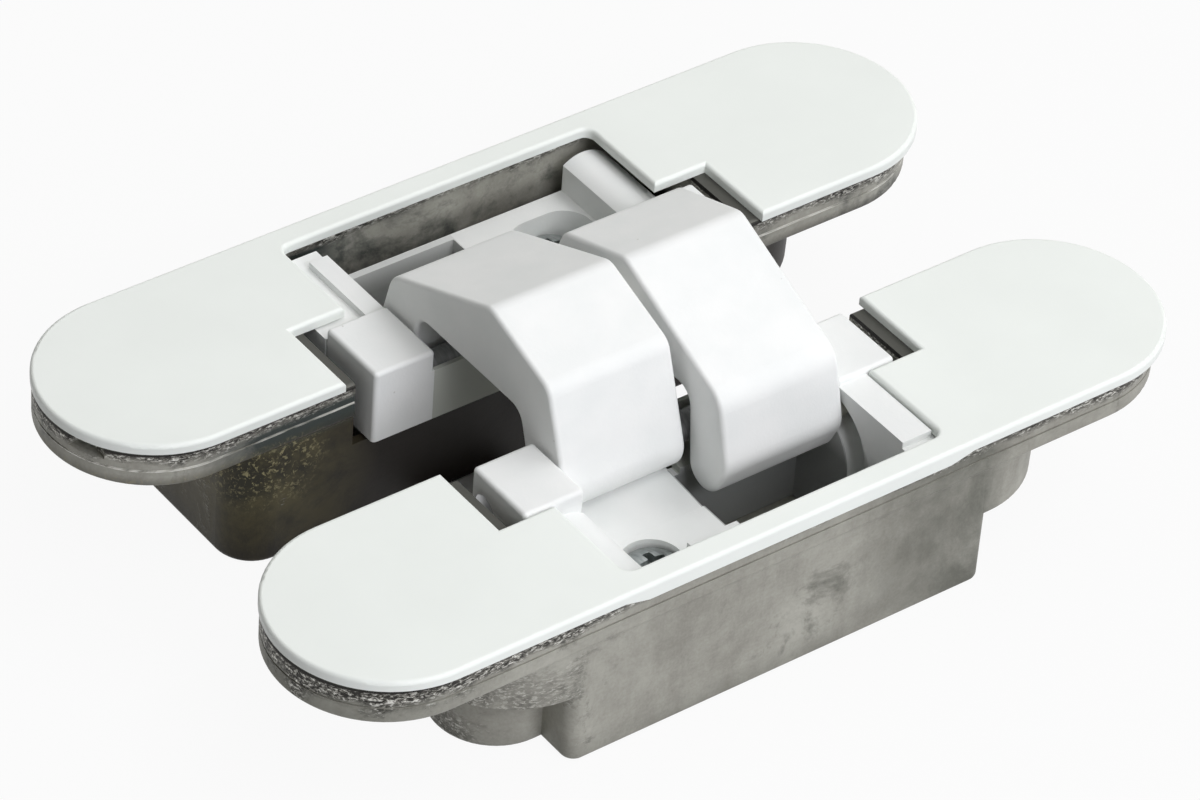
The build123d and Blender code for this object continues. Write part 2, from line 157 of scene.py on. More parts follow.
@dataclass(frozen=True)
class Pattern:
    """A cloudy pattern, sized by what it measures on the real piece.

    A stretch below 1 along an axis draws the pattern out that way.
    """

    size_mm: float
    detail: float = 2.0
    roughness: float = 0.5
    distortion: float = 0.0
    stretch: tuple[float, float, float] = (1.0, 1.0, 1.0)

    def draw(self, tree: Tree) -> Socket:
        """Draws the pattern on a piece's own coordinates.

        Args:
            tree: Node tree that gets the nodes.

        Returns:
            The pattern, about 0.5 on average.
        """
        place = add(tree, "ShaderNodeTexCoord", {}).outputs["Object"]
        drawn = add(tree, "ShaderNodeMapping", {"Vector": place, "Scale": self.stretch}).outputs["Vector"]
        return add(tree, "ShaderNodeTexNoise", {
            "Vector": drawn, "Scale": per_metre(self.size_mm), "Detail": self.detail,
            "Roughness": self.roughness, "Distortion": self.distortion,
        }).outputs["Fac"]


@dataclass(frozen=True)
class Zone:
    """A rectangle on a piece, seen from above, by its middle and half its sizes along X and Y."""

    middle: tuple[float, float]
    half: tuple[float, float]

    def inside(self, tree: Tree, share: Socket | float) -> Socket:
        """Keeps a share inside the rectangle only.

        Args:
            tree: Node tree that gets the nodes.
            share: The share, which becomes 0 outside.

        Returns:
            The share inside the rectangle.
        """
        place = add(tree, "ShaderNodeTexCoord", {}).outputs["Object"]
        axes = add(tree, "ShaderNodeSeparateXYZ", {"Vector": place}).outputs
        for axis, middle, half in zip("XY", self.middle, self.half):
            near = add(tree, "ShaderNodeMath", {
                0: axes[axis], 1: middle, 2: half,
            }, operation="COMPARE").outputs[0]
            share = add(tree, "ShaderNodeMath", {0: share, 1: near}, operation="MULTIPLY").outputs[0]
        return share


@dataclass(frozen=True)
class CastSurface:
    """What the layers of a casting's finish read: its place, slope and shared patterns."""

    tree: Tree
    x: Socket
    y: Socket
    z: Socket
    facing: Socket
    steep: Socket
    cloud: Socket
    flow: Socket
    stains: Socket
    grey: Socket
    unthinned: Socket


@dataclass(frozen=True)
class StainsAndShade:
    """Dark stains at random, with painted shade at both ends and on the flange, and darker towards the foot.
    """

    colour: str = "#4C4E46"
    stain: Fade = Fade(0.58, 0.72, 0.0, 0.8)
    left: Fade = NOWHERE
    right: Fade = NOWHERE
    right_stop: Fade = Fade(0.0255, 0.0285, 1.0, 0.0)
    foot: Fade = Fade(0.0, 0.0035, 0.45, 0.0)
    flange: Fade = NOWHERE
    flange_stop: Fade = Fade(-0.018, -0.01, 1.0, 0.0)
    flange_height: Fade = Fade(PARTING + 0.0007, PARTING + 0.0016, 1.0, 0.0)
    uneven: Fade = Fade(0.32, 0.56, 0.35, 1.0)

    def cover(self, surface: CastSurface, under: Socket) -> Socket:
        """Lays the stains and the painted shade over the bare metal.

        Args:
            surface: The casting's place, slope and patterns.
            under: Colour of the metal.

        Returns:
            The colour with stains and painted shade.
        """
        tree, x, z = surface.tree, surface.x, surface.z
        stain, left, right, right_stop, foot, flange, flange_stop, flange_height, uneven = (
            add(tree, "ShaderNodeMapRange", {"Value": value, **fade.limits}).outputs["Result"]
            for value, fade in (
                (surface.stains, self.stain), (x, self.left), (x, self.right), (x, self.right_stop),
                (z, self.foot), (x, self.flange), (x, self.flange_stop), (z, self.flange_height),
                (surface.stains, self.uneven),
            )
        )
        # painted shade at the left and right ends and on the flange, darker towards the foot, then the random
        # stains
        left = add(tree, "ShaderNodeMath", {0: left, 1: surface.unthinned}, operation="MULTIPLY").outputs[0]
        stains_and_shade = add(tree, "ShaderNodeMath", {
            0: right, 1: right_stop, 2: left,
        }, operation="MULTIPLY_ADD").outputs[0]
        stains_and_shade = add(tree, "ShaderNodeMath", {0: stains_and_shade, 1: foot}, operation="MAXIMUM").outputs[0]
        along = add(tree, "ShaderNodeMath", {0: flange, 1: flange_stop}, operation="MULTIPLY").outputs[0]
        stains_and_shade = add(tree, "ShaderNodeMath", {
            0: along, 1: flange_height, 2: stains_and_shade,
        }, operation="MULTIPLY_ADD").outputs[0]
        for share in (uneven, surface.steep):
            stains_and_shade = add(tree, "ShaderNodeMath", {0: stains_and_shade, 1: share}, operation="MULTIPLY").outputs[0]
        stains_and_shade = add(tree, "ShaderNodeMath", {0: stains_and_shade, 1: stain}, operation="MAXIMUM").outputs[0]
        return add(tree, "ShaderNodeMix", {
            "Factor": stains_and_shade, "A": under, "B": linear(self.colour),
        }, data_type="RGBA").outputs["Result"]


@dataclass(frozen=True)
class PaintedShadeUnderFlange:
    """Painted shade under the flange: olive brown, almost black at the foot and behind the arms, with golden
    flecks.

    It thins out at the inner wall behind the window.
    """

    light: str = "#565039"
    dark: str = "#2B291F"
    deepest_shade: str = "#1C1713"
    gilt: str = "#B5AC84"
    mottle: tuple[float, float] = (0.4, 0.56)
    gilding: Pattern = Pattern(0.55, 6.0, 0.72, 0.5)
    height: Fade = Fade(FLANGE_BOTTOM - 0.0006, FLANGE_BOTTOM + 0.0014, 1.0, 0.0)
    front: Fade = Fade(INNER_WALL - 0.002, INNER_WALL, 1.0, 0.25)
    deep_along: Fade = Fade(-0.034, -0.022)
    deep_down: Fade = Fade(0.0, 0.009, 0.7, 0.0)
    fleck: Fade = Fade(0.53, 0.61, 0.0, 0.7)
    patch: Fade = Fade(0.1, 0.45)
    patch_height: Fade = Fade(0.0065, 0.0115)

    def cover(self, surface: CastSurface, under: Socket) -> Socket:
        """Lays the painted shade and its flecks over the stained metal.

        Args:
            surface: The casting's place, slope and patterns.
            under: Colour of the soiled metal.

        Returns:
            The colour with painted shade.
        """
        tree, z = surface.tree, surface.z
        height, front, deep_along, deep_down, fleck, patch_height = (
            add(tree, "ShaderNodeMapRange", {"Value": value, **fade.limits}).outputs["Result"]
            for value, fade in (
                (z, self.height), (surface.y, self.front), (surface.x, self.deep_along), (z, self.deep_down),
                (self.gilding.draw(tree), self.fleck), (z, self.patch_height),
            )
        )
        # painted shade below the flange, less at the inner wall, near black at the foot and behind the arms
        shade_share = add(tree, "ShaderNodeMath", {0: height, 1: front}, operation="MULTIPLY").outputs[0]
        deepest_shade = add(tree, "ShaderNodeMath", {0: deep_along, 1: deep_down}, operation="MAXIMUM").outputs[0]
        olive = add(tree, "ShaderNodeValToRGB", {
            "Fac": surface.stains,
        }, ramp=list(zip(self.mottle, (self.dark, self.light)))).outputs["Color"]
        shade_under_flange = add(tree, "ShaderNodeMix", {
            "Factor": deepest_shade, "A": olive, "B": linear(self.deepest_shade),
        }, data_type="RGBA").outputs["Result"]
        covered = add(tree, "ShaderNodeMix", {
            "Factor": shade_share, "A": under, "B": shade_under_flange,
        }, data_type="RGBA").outputs["Result"]
        patch = add(tree, "ShaderNodeMath", {0: surface.cloud, 1: deepest_shade}, operation="SUBTRACT").outputs[0]
        patch = add(tree, "ShaderNodeMapRange", {"Value": patch, **self.patch.limits}).outputs["Result"]
        for share in (shade_share, patch, patch_height):
            fleck = add(tree, "ShaderNodeMath", {0: fleck, 1: share}, operation="MULTIPLY").outputs[0]
        return add(tree, "ShaderNodeMix", {
            "Factor": fleck, "A": covered, "B": linear(self.gilt),
        }, data_type="RGBA").outputs["Result"]


@dataclass(frozen=True)
class CrustGlintsAndShade:
    """Dark crust under the cover plate, where the flash broke off, with painted glints and painted shade."""

    # the light tone gives painted glints
    light: str = "#EDECE6"
    grey: str = "#8A8880"
    dark: str = "#242220"
    tones: tuple[float, float, float] = (0.45, 0.54, 0.61)
    pattern: Pattern = Pattern(0.3, 5.0, 0.7, 0.6, (0.4, 0.6, 1.0))
    band: Fade = Fade(FLANGE_TOP - 0.0022, FLANGE_TOP)
    left: Fade = Fade(-0.046, -0.02, 0.75, 0.0)
    right: Fade = Fade(0.026, 0.05, -0.95, -0.7)
    waviness: float = 1.6
    ragged: Fade = Fade(0.15, 0.6, 0.0, 0.95)

    def share(self, surface: CastSurface) -> Socket:
        """Works out where the crust sits.

        Args:
            surface: The casting's place, slope and patterns.

        Returns:
            Share of the crust, 0 to 1.
        """
        tree, x = surface.tree, surface.x
        band, left, right = (
            add(tree, "ShaderNodeMapRange", {"Value": value, **fade.limits}).outputs["Result"]
            for value, fade in ((surface.z, self.band), (x, self.left), (x, self.right))
        )
        # at the left end the crust spreads down the flange as painted shade
        spread = add(tree, "ShaderNodeMath", {
            0: left, 1: surface.unthinned, 2: right,
        }, operation="MULTIPLY_ADD").outputs[0]
        wavy = add(tree, "ShaderNodeMath", {
            0: surface.stains, 1: self.waviness, 2: spread,
        }, operation="MULTIPLY_ADD").outputs[0]
        wavy = add(tree, "ShaderNodeMath", {0: band, 1: wavy}, operation="ADD").outputs[0]
        ragged = add(tree, "ShaderNodeMapRange", {"Value": wavy, **self.ragged.limits}).outputs["Result"]
        return add(tree, "ShaderNodeMath", {0: ragged, 1: surface.steep}, operation="MULTIPLY").outputs[0]

    def cover(self, tree: Tree, share: Socket, rough: Socket, under: Socket) -> Socket:
        """Lays the crust, its painted glints and its painted shade over the metal.

        Args:
            tree: Node tree of the casting.
            share: Where the crust sits.
            rough: The crust's own pattern.
            under: Colour of the metal.

        Returns:
            The colour with the crust.
        """
        crust_glints_and_shade = add(tree, "ShaderNodeValToRGB", {
            "Fac": rough,
        }, ramp=list(zip(self.tones, (self.dark, self.grey, self.light)))).outputs["Color"]
        return add(tree, "ShaderNodeMix", {
            "Factor": share, "A": under, "B": crust_glints_and_shade,
        }, data_type="RGBA").outputs["Result"]


@dataclass(frozen=True)
class SeamHighlight:
    """Painted highlight along the seam of the die halves on the front of a flange, broken up in places."""

    colour: str = "#EDECE6"
    half_width: float = 0.00009
    thinning: Fade = Fade(0.4, 0.55, 0.0, 0.8)

    def cover(self, surface: CastSurface, under: Socket) -> Socket:
        """Draws the painted highlight along the seam.

        Args:
            surface: The casting's place, slope and patterns.
            under: Colour of the metal.

        Returns:
            The colour with the painted highlight.
        """
        tree = surface.tree
        seam_highlight = add(tree, "ShaderNodeMath", {
            0: surface.z, 1: PARTING, 2: self.half_width,
        }, operation="COMPARE").outputs[0]
        thinning = add(tree, "ShaderNodeMapRange", {
            "Value": surface.flow, **self.thinning.limits,
        }).outputs["Result"]
        front = add(tree, "ShaderNodeMath", {0: surface.y, 1: INNER_WALL}, operation="LESS_THAN").outputs[0]
        for share in (thinning, front):
            seam_highlight = add(tree, "ShaderNodeMath", {0: seam_highlight, 1: share}, operation="MULTIPLY").outputs[0]
        # painted highlight on the seam
        return add(tree, "ShaderNodeMix", {
            "Factor": seam_highlight, "A": under, "B": linear(self.colour),
        }, data_type="RGBA").outputs["Result"]


@dataclass(frozen=True)
class PlateShadowAndBed:
    """Painted shadow line under the edge of a cover plate, and the dull bed of that plate on top of the
    flange.
    """

    line: str = "#242220"
    bed: str = "#4A4A46"
    line_height: Fade = Fade(FLANGE_TOP - 0.0007, FLANGE_TOP - 0.0005)
    bed_half_height: float = 0.0004

    def cover(self, surface: CastSurface, under: Socket) -> Socket:
        """Draws the painted shadow line and the bed.

        Args:
            surface: The casting's place, slope and patterns.
            under: Colour of the metal.

        Returns:
            The colour with both.
        """
        tree = surface.tree
        # painted shadow of the gap under the cover plate
        line = add(tree, "ShaderNodeMapRange", {
            "Value": surface.z, **self.line_height.limits,
        }).outputs["Result"]
        bed = add(tree, "ShaderNodeMath", {
            0: surface.z, 1: FLANGE_TOP, 2: self.bed_half_height,
        }, operation="COMPARE").outputs[0]
        colour = under
        for share, slope, tone in ((line, surface.steep, self.line), (bed, surface.facing, self.bed)):
            share = add(tree, "ShaderNodeMath", {0: share, 1: slope}, operation="MULTIPLY").outputs[0]
            colour = add(tree, "ShaderNodeMix", {
                "Factor": share, "A": colour, "B": linear(tone),
            }, data_type="RGBA").outputs["Result"]
        return colour


@dataclass(frozen=True)
class RawZinc:
    """Zinc alloy as it leaves the die, gone dull, with stains and crust, and with painted shade, glints and a
    highlight.
    """

    name: str
    light: str = "#AFAEA5"
    dark: str = "#8A8880"
    tones: tuple[float, float] = (0.37, 0.63)
    cloud: Pattern = Pattern(10.0, 8.0, 0.66, 0.2)
    drag: Pattern = Pattern(2.2, 4.0, 0.55, stretch=(1.0, 1.0, 0.22))
    flow: Pattern = Pattern(0.9, 4.0, 0.55, stretch=(0.14, 1.0, 1.0))
    grain: Pattern = Pattern(0.35, 3.0, 0.6)
    stains: Pattern = Pattern(9.0, 7.0, 0.68, 0.3)
    drag_share: float = 0.24
    flow_share: float = 0.1
    grain_share: float = 0.16
    steepness: float = 0.6
    thinning_waviness: float = 0.008
    thinning: Fade = Fade(PARTING + 0.0028, PARTING + 0.0052, 0.35, 1.0)
    thinning_lowest: float = FLANGE_BOTTOM - 0.0001
    stains_and_shade: StainsAndShade = StainsAndShade()
    shade_under_flange: PaintedShadeUnderFlange | None = None
    crust_glints_and_shade: CrustGlintsAndShade = CrustGlintsAndShade()
    seam_highlight: SeamHighlight | None = None
    joint: PlateShadowAndBed = PlateShadowAndBed()
    glint: Fade = Fade(0.58, 0.68)
    metallic: Fade = Fade(0.0, 1.0, 0.1, 0.7)
    roughness: Fade = Fade(0.3, 0.7, 0.56, 0.4)
    specular: float = 0.2
    crust_height: float = 3.0
    relief_strength: float = 0.45
    relief_depth: float = 0.00016

    def surface(self, tree: Tree) -> CastSurface:
        """Works out what the layers share.

        Args:
            tree: Node tree that gets the nodes.

        Returns:
            The casting's place, slope and patterns.
        """
        place = add(tree, "ShaderNodeTexCoord", {}).outputs["Object"]
        axes = add(tree, "ShaderNodeSeparateXYZ", {"Vector": place}).outputs
        normal = add(tree, "ShaderNodeNewGeometry", {}).outputs["True Normal"]
        facing = add(tree, "ShaderNodeSeparateXYZ", {"Vector": normal}).outputs["Z"]
        steep = add(tree, "ShaderNodeMath", {
            0: facing, 1: 0.0, 2: self.steepness,
        }, operation="COMPARE").outputs[0]
        cloud, flow, stains = self.cloud.draw(tree), self.flow.draw(tree), self.stains.draw(tree)
        # soft clouds and upright drag marks carry the grey, flow marks and grain only break it up
        grey = cloud
        for share, pattern in (
            (self.drag_share, self.drag.draw(tree)), (self.flow_share, flow),
            (self.grain_share, self.grain.draw(tree)),
        ):
            grey = add(tree, "ShaderNodeMix", {"Factor": share, 2: grey, 3: pattern}).outputs[0]
        # the painted shade at the left end and the crust keep only part of their share on the lower flange,
        # up to a wavy line
        level = add(tree, "ShaderNodeMath", {
            0: stains, 1: self.thinning_waviness, 2: axes["Z"],
        }, operation="MULTIPLY_ADD").outputs[0]
        above = add(tree, "ShaderNodeMapRange", {"Value": level, **self.thinning.limits}).outputs["Result"]
        below = add(tree, "ShaderNodeMath", {
            0: axes["Z"], 1: self.thinning_lowest,
        }, operation="LESS_THAN").outputs[0]
        unthinned = add(tree, "ShaderNodeMath", {0: above, 1: below}, operation="MAXIMUM").outputs[0]
        return CastSurface(
            tree, axes["X"], axes["Y"], axes["Z"], facing, steep, cloud, flow, stains, grey, unthinned
        )

    def material(self) -> bpy.types.Material:
        """Builds the casting's material.

        Returns:
            The finished material.
        """
        # as-cast zinc: a cloudy warm grey with a dull sheen, darker where stains, crust and painted shade sit
        material, tree = new_material(self.name)
        surface = self.surface(tree)
        colour = add(tree, "ShaderNodeValToRGB", {
            "Fac": surface.grey,
        }, ramp=list(zip(self.tones, (self.dark, self.light)))).outputs["Color"]
        # painted shade comes with the stains, under the frame flange, in the crust and in the line under the
        # cover plate
        colour = self.stains_and_shade.cover(surface, colour)
        if self.shade_under_flange:
            colour = self.shade_under_flange.cover(surface, colour)
        rough = self.crust_glints_and_shade.pattern.draw(tree)
        crust_and_shade_share = self.crust_glints_and_shade.share(surface)
        colour = self.crust_glints_and_shade.cover(tree, crust_and_shade_share, rough, colour)
        # the crust's light tone and the seam are painted highlights
        if self.seam_highlight:
            colour = self.seam_highlight.cover(surface, colour)
        colour = self.joint.cover(surface, colour)
        glint = add(tree, "ShaderNodeMapRange", {"Value": rough, **self.glint.limits}).outputs["Result"]
        glint = add(tree, "ShaderNodeMath", {0: glint, 1: crust_and_shade_share}, operation="MULTIPLY").outputs[0]
        metallic, roughness = (
            add(tree, "ShaderNodeMapRange", {"Value": value, **fade.limits}).outputs["Result"]
            for value, fade in ((glint, self.metallic), (surface.grey, self.roughness))
        )
        height = add(tree, "ShaderNodeMath", {0: rough, 1: crust_and_shade_share}, operation="MULTIPLY").outputs[0]
        height = add(tree, "ShaderNodeMath", {
            0: height, 1: self.crust_height, 2: surface.grey,
        }, operation="MULTIPLY_ADD").outputs[0]
        bump = add(tree, "ShaderNodeBump", {
            "Strength": self.relief_strength, "Distance": self.relief_depth, "Height": height,
        }).outputs["Normal"]
        shader = add(tree, "ShaderNodeBsdfPrincipled", {
            "Base Color": colour, "Metallic": metallic, "Roughness": roughness,
            "Specular IOR Level": self.specular, "Normal": bump,
        })
        add(tree, "ShaderNodeOutputMaterial", {"Surface": shader.outputs["BSDF"]})
        return material


@dataclass(frozen=True)
class CoverEnamel:
    """White stoved enamel on the cover plates."""

    name: str = "white_enamel"
    light: str = "#F1F5F1"
    shade: str = "#EEF2EE"
    tones: tuple[float, float] = (0.35, 0.65)
    cloud: Pattern = Pattern(14.0, 3.0)
    peel: Pattern = Pattern(0.9)
    roughness: Fade = Fade(0.0, 1.0, 0.36, 0.46)
    ior: float = 1.5
    peel_strength: float = 0.06
    peel_depth: float = 0.0001

    def material(self) -> bpy.types.Material:
        """Builds the cover plates' material.

        Returns:
            The finished material.
        """
        # stoved enamel: an even cool white with a satin sheen and a faint orange peel
        material, tree = new_material(self.name)
        cloud = self.cloud.draw(tree)
        colour = add(tree, "ShaderNodeValToRGB", {
            "Fac": cloud,
        }, ramp=list(zip(self.tones, (self.shade, self.light)))).outputs["Color"]
        roughness = add(tree, "ShaderNodeMapRange", {
            "Value": cloud, **self.roughness.limits,
        }).outputs["Result"]
        bump = add(tree, "ShaderNodeBump", {
            "Strength": self.peel_strength, "Distance": self.peel_depth, "Height": self.peel.draw(tree),
        }).outputs["Normal"]
        shader = add(tree, "ShaderNodeBsdfPrincipled", {
            "Base Color": colour, "Roughness": roughness, "IOR": self.ior, "Normal": bump,
        })
        add(tree, "ShaderNodeOutputMaterial", {"Surface": shader.outputs["BSDF"]})
        return material


@dataclass(frozen=True)
class PowderCoat:
    """White powder coat on the cast arms and carriages.

    In a carriage's well painted shade darkens the coat towards the bottom, and the thin panel beside the arm
    is greyer with painted shade.
    """

    name: str = "white_powder_coat"
    well: Zone | None = None
    panel: Zone | None = None
    well_shade: str = "#9A9C9C"
    panel_shade: str = "#C2C5BD"
    light: str = "#F0F1F0"
    shade: str = "#EBEDEC"
    speck: str = "#A9A69C"
    tones: tuple[float, float] = (0.35, 0.65)
    well_shade_height: Fade = Fade(0.0115, 0.0155, 1.0, 0.0)
    cloud: Pattern = Pattern(6.0, 4.0)
    grit: Pattern = Pattern(0.32, 2.0, 0.6)
    speck_mm: float = 5.0
    speck_size: Fade = Fade(0.016, 0.03, 0.4, 0.0)
    roughness: float = 0.55
    ior: float = 1.5
    grit_strength: float = 0.25
    grit_depth: float = 0.00006

    def material(self) -> bpy.types.Material:
        """Builds the powder coat.

        Returns:
            The finished material.
        """
        # powder coat: a matte white with a fine grit and a few specks of dirt
        # the grit is drawn as coarse as it needs to show
        material, tree = new_material(self.name)
        place = add(tree, "ShaderNodeTexCoord", {}).outputs["Object"]
        colour = add(tree, "ShaderNodeValToRGB", {
            "Fac": self.cloud.draw(tree),
        }, ramp=list(zip(self.tones, (self.shade, self.light)))).outputs["Color"]
        specks = add(tree, "ShaderNodeTexVoronoi", {
            "Vector": place, "Scale": per_metre(self.speck_mm),
        }).outputs["Distance"]
        specked = add(tree, "ShaderNodeMapRange", {
            "Value": specks, **self.speck_size.limits,
        }).outputs["Result"]
        layers = [(specked, self.speck)]
        # painted shade on the panel beside the arm and deep in the well
        if self.panel:
            layers.append((self.panel.inside(tree, 1.0), self.panel_shade))
        if self.well:
            height = add(tree, "ShaderNodeSeparateXYZ", {"Vector": place}).outputs["Z"]
            low = add(tree, "ShaderNodeMapRange", {
                "Value": height, **self.well_shade_height.limits,
            }).outputs["Result"]
            layers.append((self.well.inside(tree, low), self.well_shade))
        for share, tone in layers:
            colour = add(tree, "ShaderNodeMix", {
                "Factor": share, "A": colour, "B": linear(tone),
            }, data_type="RGBA").outputs["Result"]
        bump = add(tree, "ShaderNodeBump", {
            "Strength": self.grit_strength, "Distance": self.grit_depth, "Height": self.grit.draw(tree),
        }).outputs["Normal"]
        shader = add(tree, "ShaderNodeBsdfPrincipled", {
            "Base Color": colour, "Roughness": self.roughness, "IOR": self.ior, "Normal": bump,
        })
        add(tree, "ShaderNodeOutputMaterial", {"Surface": shader.outputs["BSDF"]})
        return material


@dataclass(frozen=True)
class BrightSteel:
    """Turned steel, plated or ground."""

    name: str
    light: str
    shade: str
    roughness: float
    tones: tuple[float, float] = (0.3, 0.7)
    marks: Pattern = Pattern(0.25, 3.0, stretch=(1.0, 0.15, 0.15))
    mark_strength: float = 0.15
    mark_depth: float = 0.00004

    def material(self) -> bpy.types.Material:
        """Builds the steel.

        Returns:
            The finished material.
        """
        # turned steel: bright, with tool marks across the piece's length
        # the marks are drawn coarser than real ones so that they show
        material, tree = new_material(self.name)
        marks = self.marks.draw(tree)
        colour = add(tree, "ShaderNodeValToRGB", {
            "Fac": marks,
        }, ramp=list(zip(self.tones, (self.shade, self.light)))).outputs["Color"]
        bump = add(tree, "ShaderNodeBump", {
            "Strength": self.mark_strength, "Distance": self.mark_depth, "Height": marks,
        }).outputs["Normal"]
        shader = add(tree, "ShaderNodeBsdfPrincipled", {
            "Base Color": colour, "Metallic": 1.0, "Roughness": self.roughness, "Normal": bump,
        })
        add(tree, "ShaderNodeOutputMaterial", {"Surface": shader.outputs["BSDF"]})
        return material


@dataclass(frozen=True)
class Acetal:
    """Natural acetal of the bushes, as moulded."""

    name: str = "natural_acetal"
    light: str = "#E1E0D8"
    shade: str = "#D5D3C9"
    tones: tuple[float, float] = (0.35, 0.65)
    cloud: Pattern = Pattern(3.0, 3.0)
    roughness: float = 0.42
    ior: float = 1.48

    def material(self) -> bpy.types.Material:
        """Builds the acetal.

        Returns:
            The finished material.
        """
        # acetal: ivory white and waxy
        material, tree = new_material(self.name)
        colour = add(tree, "ShaderNodeValToRGB", {
            "Fac": self.cloud.draw(tree),
        }, ramp=list(zip(self.tones, (self.shade, self.light)))).outputs["Color"]
        shader = add(tree, "ShaderNodeBsdfPrincipled", {
            "Base Color": colour, "Roughness": self.roughness, "IOR": self.ior,
        })
        add(tree, "ShaderNodeOutputMaterial", {"Surface": shader.outputs["BSDF"]})
        return material


def dress(node: str, material: bpy.types.Material) -> None:
    """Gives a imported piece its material.

    Args:
        node: Name of the piece.
        material: Finish that covers it.
    """
    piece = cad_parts[node]
    piece.data.materials.clear()
    piece.data.materials.append(material)
    LOG.info("%s gets %s", node, material.name)


@dataclass
class Finishes:
    """All materials of the hinge, each made once."""

    castings: dict[Side, bpy.types.Material] = field(default_factory=lambda: {
        # frame casting: painted shade on and under its flange, a painted highlight on the seam, painted
        # glints in the crust
        Side.FRAME: RawZinc(
            "die_cast_zinc_with_painted_shade",
            stains_and_shade=StainsAndShade("#3A403E", Fade(0.5, 0.64, 0.0, 0.8), flange=Fade(-0.046, -0.034, 0.0, 1.7)),
            shade_under_flange=PaintedShadeUnderFlange(), crust_glints_and_shade=CrustGlintsAndShade(left=Fade(-0.046, -0.02, 0.25, 0.0)), seam_highlight=SeamHighlight(),
        ).material(),
        # door casting: painted shade at both ends and painted glints in the crust
        Side.DOOR: RawZinc(
            "die_cast_zinc",
            stains_and_shade=StainsAndShade(left=Fade(-0.049, -0.036, 1.2, 0.0), right=Fade(0.006, 0.023, 0.0, 0.75)),
        ).material(),
    })
    cover: bpy.types.Material = field(default_factory=lambda: CoverEnamel().material())
    coat: bpy.types.Material = field(default_factory=lambda: PowderCoat().material())
    lined: dict[Side, bpy.types.Material] = field(default_factory=lambda: {
        # carriage coats: painted shade deep in the well and on the panel beside the arm
        Side.FRAME: PowderCoat(
            "frame_carriage_coat", Zone((-0.0076, 0.0208), (0.00895, 0.0091)),
            Zone((-0.0083, 0.0095), (0.0081, 0.0022)), "#A3A5A3",
        ).material(),
        Side.DOOR: PowderCoat(
            "door_carriage_coat", Zone((0.0076, -0.0224), (0.00895, 0.0091)),
            Zone((0.0083, -0.0111), (0.0081, 0.0022)),
        ).material(),
    })
    plated: bpy.types.Material = field(default_factory=lambda: BrightSteel(
        "bright_zinc_plating", "#B4B8B8", "#8E9393", 0.34
    ).material())
    ground: bpy.types.Material = field(default_factory=lambda: BrightSteel(
        "turned_and_ground_steel", "#BFC0C2", "#96979A", 0.3
    ).material())
    acetal: bpy.types.Material = field(default_factory=lambda: Acetal().material())


@dataclass
class Leaf:
    """One leaf: its casting, cover plate, carriage and clamp screw."""

    side: Side

    def dress(self, finishes: Finishes) -> None:
        """Gives the leaf's pieces their finishes.

        Args:
            finishes: Materials of the hinge.
        """
        name = self.side.value
        dress(f"{name}_body", finishes.castings[self.side])
        dress(f"{name}_cover", finishes.cover)
        dress(f"{name}_carriage", finishes.lined[self.side])
        dress(f"{name}_clamp_screw", finishes.plated)
        dress(f"{name}_clamp_washer", finishes.plated)
        dress(f"{name}_pivot_pin", finishes.ground)


@dataclass
class Linkage:
    """The crossed arms with their pins, bushes and centre pivot."""

    def dress(self, finishes: Finishes) -> None:
        """Gives the linkage its finishes.

        Args:
            finishes: Materials of the hinge.
        """
        for hand in Hand:
            dress(f"{hand.value}_arm", finishes.coat)
            dress(f"{hand.value}_pivot_bush", finishes.acetal)
            dress(f"{hand.value}_slide_bush", finishes.acetal)
            dress(f"{hand.value}_slide_pin", finishes.ground)
        dress("centre_pin", finishes.ground)
        dress("centre_bush", finishes.acetal)
        dress("centre_washer", finishes.acetal)


def seen_directly(tree: Tree) -> Socket:
    """Tells rays of the camera, of gloss and of glass from those that only carry light.

    Args:
        tree: Node tree that gets the nodes.

    Returns:
        Output that is 1 for rays that show the background, otherwise 0.
    """
    ray = add(tree, "ShaderNodeLightPath", {}).outputs
    seen = ray["Is Camera Ray"]
    for other in ("Is Glossy Ray", "Is Transmission Ray"):
        seen = add(tree, "ShaderNodeMath", {0: seen, 1: ray[other]}, operation="MAXIMUM").outputs[0]
    return seen


@dataclass(frozen=True)
class SoftBox:
    """A square soft lamp that faces the hinge, with its power in watts."""

    name: str
    place: tuple[float, float, float]
    power: float
    colour: str = "#FFFFFF"
    size: float = 0.7

    def hang(self, aim: tuple[float, float, float]) -> None:
        """Hangs the lamp.

        Args:
            aim: Point that it faces.
        """
        data = bpy.data.lights.new(self.name, "AREA")
        data.size = self.size
        data.energy = self.power
        data.color = linear(self.colour)[:3]
        lamp = bpy.data.objects.new(self.name, data)
        lamp.location = self.place
        lamp.rotation_euler = (Vector(aim) - Vector(self.place)).to_track_quat("-Z", "Y").to_euler()
        bpy.context.scene.collection.objects.link(lamp)


